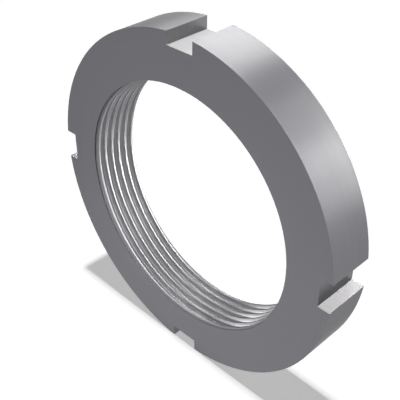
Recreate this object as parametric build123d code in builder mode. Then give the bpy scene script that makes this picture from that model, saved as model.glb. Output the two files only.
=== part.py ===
import math
import os

from build123d import *

# A slotted round lock nut for a bearing: a flat ring with four spanner slots in its rim
# and a fine right-hand metric thread in its bore. It is turned, milled and threaded in one piece.
# The thread axis is Y, the front face looks along -Y, and Z is up.
# The origin is on the thread axis, halfway between the two faces.

# Driving dimensions, in millimetres and degrees.
outer_diameter = 80.0
nut_width = 11.0

slot_count = 4
slot_width = 7.0
slot_depth = 3.0
first_slot_angle = 90.0

thread_diameter = 60.0
thread_pitch = 2.0
thread_flank_angle = 30.0
crest_flat_in_pitch = 1 / 4
root_flat_in_pitch = 1 / 8

# Where the thread's crest lies flush in the front face, from +X towards +Z.
front_crest_angle = 45.0

# Radii of the ring.
outer_radius = outer_diameter / 2
slot_floor_radius = outer_radius - slot_depth

# The thread's profile is a V with its tip and its foot cut flat, which fixes its depth.
crest_flat = thread_pitch * crest_flat_in_pitch
root_flat = thread_pitch * root_flat_in_pitch
flank_slope = math.tan(math.radians(thread_flank_angle))
thread_depth = (thread_pitch - crest_flat - root_flat) / 2 / flank_slope
root_radius = thread_diameter / 2
crest_radius = root_radius - thread_depth

# The groove's profile carries its flanks on into the empty bore, so that it cuts cleanly.
# Half a crest flat is as far as they go without meeting the next turn.
groove_overlap = crest_flat / 2
mouth_radius = crest_radius - groove_overlap
mouth_half_width = (thread_pitch - crest_flat) / 2 + groove_overlap * flank_slope
root_half_width = root_flat / 2

# The groove winds away from the front face and clockwise, as a right-hand thread does.
# It starts straight above the axis, between one and two turns in front of the face,
# so that it crosses the face opposite the flush crest.
helix_start_angle = 90.0
front_groove_angle = front_crest_angle + 180
lead_in_turns = 1 + (helix_start_angle - front_groove_angle) % 360 / 360
groove_start = -nut_width / 2 - lead_in_turns * thread_pitch
turn_count = math.ceil(nut_width / thread_pitch + lead_in_turns) + 1
turn_starts = [(0, turn * thread_pitch, 0) for turn in range(turn_count)]

# One turn of the groove, from a profile that stands in the plane of the axis:
# x is the distance from the axis and y runs along it.
profile_plane = Plane(origin=(0, groove_start, 0), x_dir=(0, 0, 1), z_dir=(-1, 0, 0))

with BuildPart() as groove_turn:
    with BuildLine():
        Helix(
            pitch=thread_pitch,
            height=thread_pitch,
            radius=crest_radius,
            center=(0, groove_start, 0),
            direction=(0, 1, 0),
        )
    with BuildSketch(profile_plane):
        with BuildLine():
            Polyline(
                (mouth_radius, -mouth_half_width),
                (root_radius, -root_half_width),
                (root_radius, root_half_width),
                (mouth_radius, mouth_half_width),
                close=True,
            )
        make_face()
    sweep(is_frenet=True)

with BuildPart() as lock_nut:
    # The blank is bored to the thread's crests, and each slot is milled from face to face.
    with BuildSketch(Plane.XZ):
        Circle(outer_radius)
        Circle(crest_radius, mode=Mode.SUBTRACT)
        with PolarLocations(slot_floor_radius, slot_count, start_angle=first_slot_angle):
            Rectangle(
                2 * slot_depth,
                slot_width,
                align=(Align.MIN, Align.CENTER),
                mode=Mode.SUBTRACT,
            )
    extrude(amount=nut_width / 2, both=True)

    # Turn after turn, a pitch apart, the cuts join into one groove that runs out of both faces.
    with Locations(*turn_starts):
        add(groove_turn.part, mode=Mode.SUBTRACT)

lock_nut.part.label = "lock_nut"

os.makedirs("parts", exist_ok=True)
export_step(lock_nut.part, "parts/lock_nut.step")
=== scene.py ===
# %% [markdown]
# # A bearing lock nut
#
# The object is a round lock nut that clamps a bearing on a shaft. It is one flat ring of steel,
# 80 mm across and 11 mm wide. It is turned on a lathe, four slots are milled in its rim for
# a hook spanner, and a fine thread is cut in its bore.
#
# The solid model already has every form of the nut, the thread's winding groove among them.
# So this lesson adds no shapes. It gives the steel a finish, a floor, light and a camera.

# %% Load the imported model
import math

import bpy
from mathutils import Matrix, Vector


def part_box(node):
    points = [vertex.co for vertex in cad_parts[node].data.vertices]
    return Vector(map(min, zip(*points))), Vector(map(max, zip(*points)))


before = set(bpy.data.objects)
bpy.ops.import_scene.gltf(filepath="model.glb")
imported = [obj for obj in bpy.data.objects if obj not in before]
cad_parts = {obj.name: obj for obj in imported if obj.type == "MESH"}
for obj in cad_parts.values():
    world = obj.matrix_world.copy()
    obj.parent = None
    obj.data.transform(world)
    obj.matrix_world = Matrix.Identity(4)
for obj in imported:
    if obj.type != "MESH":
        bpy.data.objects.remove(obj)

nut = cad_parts["lock_nut"]
print("the nut has", len(nut.data.polygons), "faces and", len(nut.material_slots), "material slot")

# %% [markdown]
# ## Measure the box of the solid model
#
# A finish must not change the size of the nut. Its box is measured before anything is added.
# The nut stands on its rim, on the two edges of its bottom slot, so the bottom of the box is also
# the level of the floor.

# %% Measure the box
mm = 0.001

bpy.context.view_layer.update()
nut_low, nut_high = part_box("lock_nut")
floor_level = nut_low.z
print("nut size in mm:", [round(side / mm, 3) for side in nut_high - nut_low])

# %% [markdown]
# ## A helper for colours
#
# Colours are chosen on a screen, so they are written as sRGB hex values. A shader works
# with linear light. The numbers could be turned by hand, but then nobody could read them as
# a colour again, so a function does it, by the standard sRGB curve.

# %% Colour helper
def linear(hex_colour):
    """An sRGB hex colour as linear red, green, blue and alpha."""
    channels = [int(hex_colour[i:i + 2], 16) / 255 for i in (1, 3, 5)]
    return [c / 12.92 if c <= 0.04045 else ((c + 0.055) / 1.055) ** 2.4 for c in channels] + [1.0]


print("a middle grey in linear light:", [round(channel, 3) for channel in linear("#808080")])

# %% [markdown]
# ## Helpers for nodes
#
# A procedural material is a web of nodes, and three lines for each node would hide the idea.
# The first function makes a node, applies its settings and fills its inputs, each with
# a plain value or with a link. Inputs go by name, or by number where their names repeat.
# The second one empties a new tree, because Blender puts a shader in it that isn't wanted here.

# %% Node helpers
def add_node(tree, kind, inputs=None, **settings):
    """A new node with its settings. A node as an input is linked by its first live output."""
    node = tree.nodes.new(kind)
    for name, value in settings.items():
        setattr(node, name, value)
    for key, value in (inputs or {}).items():
        live = {socket.name: socket for socket in reversed(node.inputs) if socket.enabled}
        target = live[key] if isinstance(key, str) else node.inputs[key]
        if isinstance(value, bpy.types.Node):
            value = next(socket for socket in value.outputs if socket.enabled)
        if isinstance(value, bpy.types.NodeSocket):
            tree.links.new(value, target)
        else:
            target.default_value = value
    return node


def empty_tree(owner):
    """The node tree of a material or a world, with nothing in it yet."""
    owner.use_nodes = True
    owner.node_tree.nodes.clear()
    return owner.node_tree


print("helpers:", add_node.__name__, "and", empty_tree.__name__)

# %% [markdown]
# ## The steel: one material for the whole nut
#
# The real nut is plain carbon steel, dark and slightly oily, with a satin sheen. Each tool left
# its own surface on it: the lathe on the rim and the two faces, the milling cutter in the slots
# and the threading tool in the groove.
#
# The nut could be split into pieces with a material each, or its faces could be painted one
# by one. It is one solid though, so one material is simpler and follows the model if that changes.

# %% The steel
steel = bpy.data.materials.new("turned_carbon_steel")
tree = empty_tree(steel)
print(steel.name, "starts with", len(tree.nodes), "nodes")

# %% [markdown]
# ## Place and direction
#
# The tools worked round the nut's axis, so two things tell which of them made a point: how far
# the point is from the axis, and how much its surface looks along the axis, from 0 to 1.
# Both could come from the world's coordinates. The nut's own are better, because the finish then
# stays on the steel when the nut is moved or turned.

# %% Place and direction
bore_limit = 30.2 * mm
crest_limit = 28.95 * mm
rim_limit = 39.9 * mm
face_tilt = 0.95
flank_tilt = 0.5

place = add_node(tree, "ShaderNodeTexCoord")
axes = add_node(tree, "ShaderNodeSeparateXYZ", {"Vector": place.outputs["Object"]})
facing = add_node(tree, "ShaderNodeSeparateXYZ", {"Vector": place.outputs["Normal"]})
along_axis = axes.outputs["Y"]
off_axis = add_node(tree, "ShaderNodeCombineXYZ", {"X": axes.outputs["X"], "Z": axes.outputs["Z"]})
radius = add_node(tree, "ShaderNodeVectorMath", {0: off_axis}, operation="LENGTH")
around = add_node(tree, "ShaderNodeVectorMath", {0: off_axis}, operation="NORMALIZE")
tilt = add_node(tree, "ShaderNodeMath", {0: facing.outputs["Y"]}, operation="ABSOLUTE")
for name, limit in (("bore", bore_limit), ("crests", crest_limit), ("slots", rim_limit)):
    print(name, "inside", round(limit / mm, 2), "mm from the axis")

# %% [markdown]
# ## Masks for the surfaces
#
# A mask is a number that is 1 on some surfaces and 0 on the rest. Comparing the distance or
# the tilt with a limit gives the simple masks. One minus a mask is its opposite, the product of
# two masks is 1 only where both are, and the larger of two is 1 where either is.
# Each limit lies a little off the surface that it tells from the next. A round surface of the mesh
# is made of flat facets, and their middles lie nearer to the axis than their corners.

# %% Masks for the surfaces
on_face = add_node(tree, "ShaderNodeMath", {0: tilt, 1: face_tilt}, operation="GREATER_THAN")
off_face = add_node(tree, "ShaderNodeMath", {0: 1.0, 1: on_face}, operation="SUBTRACT")
in_bore = add_node(tree, "ShaderNodeMath", {0: radius, 1: bore_limit}, operation="LESS_THAN")
off_bore = add_node(tree, "ShaderNodeMath", {0: 1.0, 1: in_bore}, operation="SUBTRACT")
off_crest = add_node(tree, "ShaderNodeMath", {0: radius, 1: crest_limit}, operation="GREATER_THAN")
below_rim = add_node(tree, "ShaderNodeMath", {0: radius, 1: rim_limit}, operation="LESS_THAN")

face_or_bore = add_node(tree, "ShaderNodeMath", {0: on_face, 1: in_bore}, operation="MAXIMUM")
in_thread = add_node(tree, "ShaderNodeMath", {0: in_bore, 1: off_face}, operation="MULTIPLY")
in_groove = add_node(tree, "ShaderNodeMath", {0: in_thread, 1: off_crest}, operation="MULTIPLY")
in_slot = add_node(tree, "ShaderNodeMath", {0: below_rim, 1: off_bore}, operation="MULTIPLY")
in_slot = add_node(tree, "ShaderNodeMath", {0: in_slot, 1: off_face}, operation="MULTIPLY")
print("with its masks the steel has", len(tree.nodes), "nodes")

# %% [markdown]
# ## Lathe lines
#
# The cutting tool leaves very fine rings round the axis. On the rim they lie side by side along
# the axis, and on the faces and the thread's flanks they lie one outside the other. In the slots
# the same lines stand for the marks of the milling cutter.
#
# Wave bands would look printed, because every line would be alike. Noise stretched round the axis
# gives lines that start, fade and end as real ones do, and the larger their shortness is, the
# sooner they end. Real lines are about 0.1 mm apart, finer than the render can show, so they are
# drawn four times as coarse.

# %% Lathe lines
feed_per_turn = 0.1 * mm
times_coarser = 4
line_pitch = times_coarser * feed_per_turn
line_shortness = 1.5
noise_low, noise_high = 0.3, 0.7

on_flank = add_node(tree, "ShaderNodeMath", {0: tilt, 1: flank_tilt}, operation="GREATER_THAN")
across = add_node(
    tree, "ShaderNodeMix",
    {"Factor": on_flank, "A": along_axis, "B": radius},
    data_type="FLOAT",
)
line_count = add_node(tree, "ShaderNodeMath", {0: across, 1: line_pitch}, operation="DIVIDE")
line_step = add_node(tree, "ShaderNodeCombineXYZ", {"Y": line_count})
line_place = add_node(
    tree, "ShaderNodeVectorMath",
    {0: around, 1: (line_shortness,) * 3, 2: line_step},
    operation="MULTIPLY_ADD",
)
lines = add_node(tree, "ShaderNodeTexNoise", {"Vector": line_place, "Scale": 1.0})
line_tone = add_node(
    tree, "ShaderNodeMapRange",
    {"Value": lines, "From Min": noise_low, "From Max": noise_high},
)
line_total = round((nut_high.y - nut_low.y) / line_pitch)
print("lines drawn", round(line_pitch / mm, 2), "mm apart,", line_total, "of them across the rim")

# %% [markdown]
# ## Colours of the steel
#
# Carbon steel that has been oiled is a dark, faintly bluish grey. The rim and the slots are
# a shade paler than the faces. In the slots the paler grey is partly painted light: it makes up
# for some of the shade that the walls of a slot cast on each other. Each surface has two close
# greys, and the lathe lines choose between them, which gives the eye metal instead of paint.
#
# The groove is the one place that needs more thought. Steel sees steel down there, light is lost
# at each bounce, and the same grey would turn nearly black. So the deep part is given a paler
# grey, a painted lightening that stands in for the light lost there, and the outer part of the
# flanks keeps the steel's own grey.

# %% Colours of the steel
greys = {
    "rim": ("#7a7a7e", "#7d7d81"),
    "face": ("#6c6c70", "#6e6e72"),
    # The slots' paler grey is partly painted light, against the shade inside them.
    "slot": ("#7d7d80", "#818184"),
    "unlightened flank": ("#6d6d71", "#707074"),
}
# Painted light: the deep part of the groove is painted a paler grey, to make up for the shade that
# its flanks cast on each other.
lightened_deep_grey = linear("#b0b0b2")
unlightened_to = 29.25 * mm
deep_from = 29.55 * mm

grey = {}
for surface, (darker, lighter) in greys.items():
    grey[surface] = add_node(
        tree, "ShaderNodeMix",
        {"Factor": line_tone, "A": linear(darker), "B": linear(lighter)},
        data_type="RGBA",
    )
# 1 on the outer strip of the flanks, which keeps the plain grey, and 0 in the depth, which is
# painted paler against its shade.
unlightened = add_node(
    tree, "ShaderNodeMapRange",
    {"Value": radius, "From Min": unlightened_to, "From Max": deep_from, "To Min": 1.0, "To Max": 0.0},
)
groove_grey = add_node(
    tree, "ShaderNodeMix",
    {"Factor": unlightened, "A": lightened_deep_grey, "B": grey["unlightened flank"]},
    data_type="RGBA",
)
# The plain grey reaches this far below the crests, and deeper down the flanks are painted paler.
print("flanks rubbed to", round((unlightened_to - crest_limit) / mm, 2), "mm below the crests")

# %% [markdown]
# ## Where the groove runs out
#
# At the front the groove winds out through the face, so part of its first turn lies open to
# the light. No crest in front shades it, so it would be much brighter than the other turns.
# A threading tool enters the steel there and leaves it torn and dull, so that turn is made much
# rougher, and it is also painted darker, a painted shade in place of the shade it lacks. A mask
# near the front face picks that turn. It is full in the deep part and weaker near the crest.

# %% Where the groove runs out
run_out_end = -4.3 * mm
dull_and_shaded_from = 29.1 * mm
dull_and_shaded_to = 29.3 * mm
least_dull_and_shaded = 0.4
# Painted shade: this darker grey stands in for the shade that no crest casts on the open first
# turn.
run_out_painted_shade = linear("#5e5e62")

near_front = add_node(
    tree, "ShaderNodeMath",
    {0: along_axis, 1: run_out_end},
    operation="LESS_THAN",
)
run_out = add_node(tree, "ShaderNodeMath", {0: near_front, 1: in_groove}, operation="MULTIPLY")
# Full in the deep part and weaker near the crest. It sets both the roughness and the painted shade
# of the run-out.
dull_and_shaded = add_node(
    tree, "ShaderNodeMapRange",
    {"Value": radius, "From Min": dull_and_shaded_from, "From Max": dull_and_shaded_to, "To Min": least_dull_and_shaded},
)
run_out = add_node(tree, "ShaderNodeMath", {0: run_out, 1: dull_and_shaded}, operation="MULTIPLY")
print("run-out reaches", round((run_out_end - nut_low.y) / mm, 2), "mm behind the front face")

# %% [markdown]
# ## Lay the greys over each other
#
# The tone of the real steel changes right at the edges, where one tool's work ends and the next
# one's begins. Some layers also carry painted light and shade: the paler deep groove, the paler
# slots and the darker run-out. Each surface has its grey and its mask now. One large sum of greys
# times masks would do, but it goes wrong where two masks overlap. Layers are safer: the first
# grey covers the whole nut, and each one after it covers what is below it where its mask is 1.

# %% Layers of grey
colour = grey["rim"]
layers = (
    (face_or_bore, grey["face"]),
    (in_groove, groove_grey),
    (in_slot, grey["slot"]),
    (run_out, run_out_painted_shade),
)
for mask, layer in layers:
    colour = add_node(
        tree, "ShaderNodeMix",
        {"Factor": mask, "A": colour, "B": layer},
        data_type="RGBA",
    )
print(len(layers), "layers lie over the grey of the rim")

# %% [markdown]
# ## How rough the steel is
#
# Fine turned steel has a roughness of about 0.3, which blurs a lamp into a soft band.
# The rim, the slots and the bore are a little rougher than the faces, and the torn run-out is much
# rougher. The lathe lines add a small change of their own, and a bump far thinner than a hair
# breaks up the highlight.

# %% Roughness and bump
face_roughness = 0.30
rim_roughness = 0.34
groove_change = -0.02
run_out_change = 0.50
line_change = 0.02
line_height = 0.0006 * mm

roughness = add_node(
    tree, "ShaderNodeMapRange",
    {"Value": on_face, "To Min": rim_roughness, "To Max": face_roughness},
)
line_roughness = add_node(
    tree, "ShaderNodeMapRange",
    {
        "Value": lines,
        "From Min": noise_low, "From Max": noise_high,
        "To Min": -line_change, "To Max": line_change,
    },
)
roughness = add_node(tree, "ShaderNodeMath", {0: line_roughness, 1: roughness}, operation="ADD")
for mask, change in ((in_groove, groove_change), (run_out, run_out_change)):
    roughness = add_node(
        tree, "ShaderNodeMath",
        {0: mask, 1: change, 2: roughness},
        operation="MULTIPLY_ADD",
    )
bump = add_node(tree, "ShaderNodeBump", {"Height": lines, "Distance": line_height})
print("roughness", face_roughness, "on the faces and", rim_roughness, "on the rim")

# %% [markdown]
# ## Put the steel on the nut
#
# All of it meets in one Principled shader. Metallic is 1, and the index of refraction stays as
# it is, because a metal takes its colour from the base colour. An oily, oxidised skin mirrors less
# at a grazing angle than clean metal, and a grey specular tint gives that.

# %% Put the steel on the nut
grazing_tint = 0.5

shader = add_node(
    tree, "ShaderNodeBsdfPrincipled",
    {
        "Base Color": colour,
        "Metallic": 1.0,
        "Specular Tint": (grazing_tint, grazing_tint, grazing_tint, 1.0),
        "Roughness": roughness,
        "Normal": bump,
    },
)
add_node(tree, "ShaderNodeOutputMaterial", {"Surface": shader})
for material_slot in nut.material_slots:
    material_slot.material = steel
print(steel.name, "has", len(tree.nodes), "nodes")

# %% [markdown]
# ## The paper
#
# The nut stands on white paper. Paper is matt, so a diffuse shader is right for it. Under a lamp
# alone it would be grey, and stronger lamps would spoil the steel. So the paper also glows, but
# only for rays from the camera and for those that the steel mirrors. Paper and glow together are
# just white, and the nut's shadow stays visible.

# %% The paper
paper_white = linear("#e7e7e7")
paper_glow = 0.412

paper = bpy.data.materials.new("matt_white_paper")
tree = empty_tree(paper)


def seen_directly(tree):
    """1 for rays from the camera and for mirrored and refracted rays, 0 for soft light."""
    rays = add_node(tree, "ShaderNodeLightPath").outputs
    seen = rays["Is Camera Ray"]
    for kind in ("Is Glossy Ray", "Is Transmission Ray"):
        seen = add_node(tree, "ShaderNodeMath", {0: seen, 1: rays[kind]}, operation="MAXIMUM")
    return seen


glow_strength = add_node(
    tree, "ShaderNodeMath",
    {0: seen_directly(tree), 1: paper_glow},
    operation="MULTIPLY",
)
matt = add_node(tree, "ShaderNodeBsdfDiffuse", {"Color": paper_white})
glow = add_node(tree, "ShaderNodeEmission", {"Strength": glow_strength})
both = add_node(tree, "ShaderNodeAddShader", {0: matt, 1: glow})
add_node(tree, "ShaderNodeOutputMaterial", {"Surface": both})
print(paper.name, "has", len(tree.nodes), "nodes")

# %% [markdown]
# ## The floor
#
# A studio lays its paper in a curve up the wall, so that no edge shows behind the object. Here
# one flat sheet does the same, because it is so wide that its edge is never seen. It lies at
# the lowest point of the nut.

# %% The floor
floor_size = 20.0

bpy.ops.mesh.primitive_grid_add(
    x_subdivisions=1, y_subdivisions=1, size=floor_size, location=(0, 0, floor_level),
)
floor = bpy.context.object
floor.name = "paper_floor"
floor.data.materials.append(paper)
print("floor at", round(floor_level / mm, 2), "mm")

# %% [markdown]
# ## The room
#
# Behind the floor is a plain white room. Metal is mostly what it mirrors, so the steel needs
# white walls to look at, and the camera should see pure white too. As a light the room would be
# far too strong, so for all other rays it is dim.

# %% The room
room_white = linear("#ffffff")
room_as_light = 0.08
room_as_seen = 1.0

room = bpy.data.worlds.new("plain_white_room")
bpy.context.scene.world = room
tree = empty_tree(room)
strength = add_node(
    tree, "ShaderNodeMapRange",
    {"Value": seen_directly(tree), "To Min": room_as_light, "To Max": room_as_seen},
)
walls = add_node(tree, "ShaderNodeBackground", {"Color": room_white, "Strength": strength})
add_node(tree, "ShaderNodeOutputWorld", {"Surface": walls})
print("room lights with", room_as_light, "and is seen as", room_as_seen)

# %% [markdown]
# ## Lamps: how steel is lit
#
# Paper shows the light that falls on it, but steel shows the lamps themselves. Each bright band
# on the rim is a softbox, blurred by the satin surface. So a lamp is placed by what the steel
# should mirror, and three things about it matter: where it is, how wide it looks from the nut,
# and its radiance, which is how bright it looks.
#
# A lamp could be turned towards the nut by hand, with three angles. It is easier to name the point
# that it should light and to work out the turn, and it stays right when the lamp is moved.

# %% Aim and place a lamp
def aim_at(target, position, roll):
    """The turn of a lamp that points at the target.

    With no roll its height lies along the nut's axis, as far as that is possible.
    """
    away = (Vector(position) - Vector(target)).normalized()
    sideways = Vector((0, 1, 0)).cross(away).normalized()
    upright = Matrix((sideways, away.cross(sideways), away)).transposed()
    return (upright @ Matrix.Rotation(math.radians(roll), 3, "Z")).to_euler()


def add_lamp(kind, name, position, target=(0, 0, 0), roll=0, **settings):
    """A lamp that points at the target and that the camera doesn't see."""
    data = bpy.data.lights.new(name, kind)
    for key, value in settings.items():
        setattr(data, key, value)
    lamp = bpy.data.objects.new(name, data)
    bpy.context.scene.collection.objects.link(lamp)
    lamp.location = position
    lamp.rotation_euler = aim_at(target, position, roll)
    lamp.visible_camera = False
    return lamp


turn_from_above = aim_at((0, 0, 0), (0, 0, 1), 0)
print("a lamp straight above turns by", [round(math.degrees(angle)) for angle in turn_from_above])

# %% [markdown]
# ## A softbox
#
# A softbox is a lamp behind a white cloth, and on steel its cloth shows as an even bright patch.
# A glowing sheet would look the same, but an area lamp gives far less noise.
#
# Blender asks for an area lamp's power in watts instead of its radiance. Power is radiance times
# the lamp's area times pi, so the helper takes the radiance, and a lamp can change its size
# without changing its brightness. The lamps are a little warm, which takes the blue out of
# the highlights. Their light on the paper is left out, because the paper has a lamp of its own.

# %% A softbox
lamp_white = linear("#fffdf8")[:3]


def add_softbox(name, position, width, height, radiance, target=(0, 0, 0), roll=0, **settings):
    """A flat rectangular lamp for the steel alone, as bright as its radiance says."""
    softbox = add_lamp(
        "AREA", name, position, target, roll,
        shape="RECTANGLE", size=width, size_y=height,
        energy=radiance * math.pi * width * height,
        color=lamp_white, **settings,
    )
    softbox.visible_diffuse = False
    return softbox


print("lamp colour in linear light:", [round(channel, 3) for channel in lamp_white])

# %% [markdown]
# ## The lamp for the paper
#
# One lamp straight above the nut lights the paper and gives the soft shadow at its foot. A sun
# lamp is right for this, because it lights a wide floor evenly. The steel doesn't mirror it.
# Its strength makes up what the paper's glow and the dim room lack, so that the floor is just
# white. For that it is divided by the share of light that the paper gives back.

# %% The lamp for the paper
sun_share_of_white = 0.54
paper_gives_back = 0.8
sun_width = 3.5

sun = add_lamp(
    "SUN", "overhead_sun", (0, 0, 1),
    energy=sun_share_of_white * math.pi / paper_gives_back,
    angle=math.radians(sun_width),
)
sun.visible_glossy = False
print("sun strength", round(sun.data.energy, 2))

# %% [markdown]
# ## Where softboxes stand, and what their light passes
#
# The rim is a cylinder, so the bands on it follow from how far round the nut a softbox stands
# and how far to the rear it leans. A function turns these two angles into a direction.
#
# The walls of a slot and the flanks of the thread stand in each other's way, and with ordinary
# shadows they would be nearly black. A grey pale enough to make up for that would look like
# paint from other sides. So the light of some softboxes goes through the steel, and they cast
# no shadow. Multiple importance sampling is off for them too. With it Cycles would also look for
# them along mirrored rays, which the steel does block, and much of that light would be lost again.

# %% Helpers for softboxes
def around_nut(turn, lean):
    """A direction: turn goes round the axis from +X to +Z, and lean goes towards the rear."""
    turn, lean = math.radians(turn), math.radians(lean)
    sideways = math.cos(lean)
    return Vector((sideways * math.cos(turn), math.sin(lean), sideways * math.sin(turn)))


def pass_through_steel(softbox):
    """The lamp casts no shadow, and mirrored rays don't look for it."""
    softbox.data.use_shadow = False
    softbox.data.cycles.use_multiple_importance_sampling = False


print("straight above the nut is", [round(part, 3) for part in around_nut(90, 0)])

# %% [markdown]
# ## Large softboxes for the rim and the faces
#
# Four softboxes stand behind and above the nut, because that is the side of the room that
# the rim mirrors. The main one gives the broad bright band at the top, and the one at its edge
# lets the band fade past the top slot. The second gives the weaker band at the right, and
# the fill lets that one fade upwards. Most of them stand a little further back than
# the rim's exact mirror direction, so the rear edge of the rim is a little brighter than
# the front edge.
#
# The last two shine up through the table, as on a product table with a translucent sheet.
# The front face mirrors what is below it and in front, and the lower right of the rim mirrors
# what is below it and behind. The light of all six goes through the steel.

# %% Large softboxes
softbox_distance = 0.70

# Name, direction, width and height in metres, radiance and roll in degrees.
large_softboxes = (
    ("main_softbox", around_nut(129.5, 45), 0.46, 0.34, 4.6, 30),
    ("main_edge_softbox", around_nut(154, 27), 0.15, 0.28, 2.3, 12),
    ("second_softbox", around_nut(21, 55), 0.38, 0.32, 3.55, 14),
    ("fill_softbox", around_nut(54, 55), 0.36, 0.26, 1.6, 20),
    ("under_table_front_softbox", Vector((-0.48, -0.41, -0.775)), 0.43, 0.43, 0.34, 0),
    ("under_table_rear_softbox", around_nut(-62, 35), 0.16, 0.36, 0.5, 0),
)
for name, direction, width, height, radiance, roll in large_softboxes:
    softbox = add_softbox(
        name, direction * softbox_distance, width, height, radiance, roll=roll,
    )
    pass_through_steel(softbox)
    print(name, "has", round(softbox.data.energy, 3), "W")

# %% [markdown]
# ## Small softboxes for the thread
#
# In the bore each turn of the thread shows as a bright line beside a dark one. The bright line is
# the outer strip of a flank, and the dark one is the depth of the groove. Four small lamps in
# front of the nut draw these lines, each for its own part of the bore. They do cast shadows,
# so the crest of one turn keeps them out of the depth of the next. A lamp that stands further
# out over the bore shines deeper into the groove, and its line gets wider and softer.
# A cloth grid in front of each lamp keeps its light off the rest, and a narrow spread does that
# in Blender. The last lamp is a slim, tilted strip just above the paper.

# %% Small softboxes
# Name, position and target in mm, width and height in mm, radiance,
# spread in degrees and roll in degrees.
small_softboxes = (
    ("bore_left_softbox", (-2, -92, -35), (-29, 0, -4), 24, 10, 10.0, 50, 0),
    ("bore_lower_left_softbox", (-4, -150, -14), (-22, 0, -18), 40, 34, 2.2, 40, 0),
    ("bore_bottom_softbox", (-24, -136, 24), (-13, 0, -26), 30, 20, 7.5, 50, 0),
    ("bore_lower_right_softbox", (-32.5, -34, -32.4), (21, 0, -21), 4, 20, 1.5, 60, 30),
)
for name, position, target, width, height, radiance, spread, roll in small_softboxes:
    softbox = add_softbox(
        name, Vector(position) * mm, width * mm, height * mm, radiance,
        target=Vector(target) * mm, roll=roll, spread=math.radians(spread),
    )
    print(name, "has", round(softbox.data.energy * 1000, 2), "mW")

# %% [markdown]
# ## A small softbox for the top slot
#
# The left wall of the top slot looks down on the slot's floor, so it mirrors dark steel and looks
# black. A photographer opens up such a corner with a small card or lamp held close to it.
# This one is just behind the nut, where the wall would mirror it if the slot's floor weren't
# in the way, so it too casts no shadow. It is aimed at the front end of the wall, because
# the rear end already mirrors the white room.

# %% Top slot softbox
behind_nut = Vector((30.5, 24.5, 18.9)) * mm
front_of_wall = Vector((-3.5, -7, 38.5)) * mm
slot_lamp_side = 12 * mm
slot_lamp_radiance = 0.034
slot_lamp_spread = 26

slot_softbox = add_softbox(
    "top_slot_softbox", behind_nut, slot_lamp_side, slot_lamp_side, slot_lamp_radiance,
    target=front_of_wall, spread=math.radians(slot_lamp_spread),
)
pass_through_steel(slot_softbox)
print(slot_softbox.name, "has", round(slot_softbox.data.energy * 1000, 4), "mW")

# %% [markdown]
# ## The camera
#
# The camera looks from the front, the right and above, by the same amount each, so the three main
# directions are foreshortened alike. It stands only 165 mm from the middle of the nut, so
# the perspective is strong, and its lens is fitted to that. The focal length was measured in
# pixels of a 400-pixel-wide image and is turned into millimetres on a 36 mm sensor.

# %% The camera
camera_distance = 165.38 * mm
focal_pixels = 753.9
image_pixels = 400
sensor_width = 36.0
nearest_seen = 5 * mm

camera = bpy.data.objects.new("photo_camera", bpy.data.cameras.new("photo_camera"))
bpy.context.scene.collection.objects.link(camera)
bpy.context.scene.camera = camera
camera.data.sensor_width = sensor_width
camera.data.lens = focal_pixels / image_pixels * sensor_width
camera.data.clip_start = nearest_seen
camera.location = Vector((1, -1, 1)).normalized() * camera_distance
camera.rotation_euler = (-camera.location).to_track_quat("-Z", "Y").to_euler()
print("lens", round(camera.data.lens, 2), "mm")
print("camera at", [round(coordinate / mm, 2) for coordinate in camera.location], "mm")

# %% [markdown]
# ## Finish
#
# The Standard view shows colours as they were written.

# %% Finish
bpy.context.scene.view_settings.view_transform = "Standard"
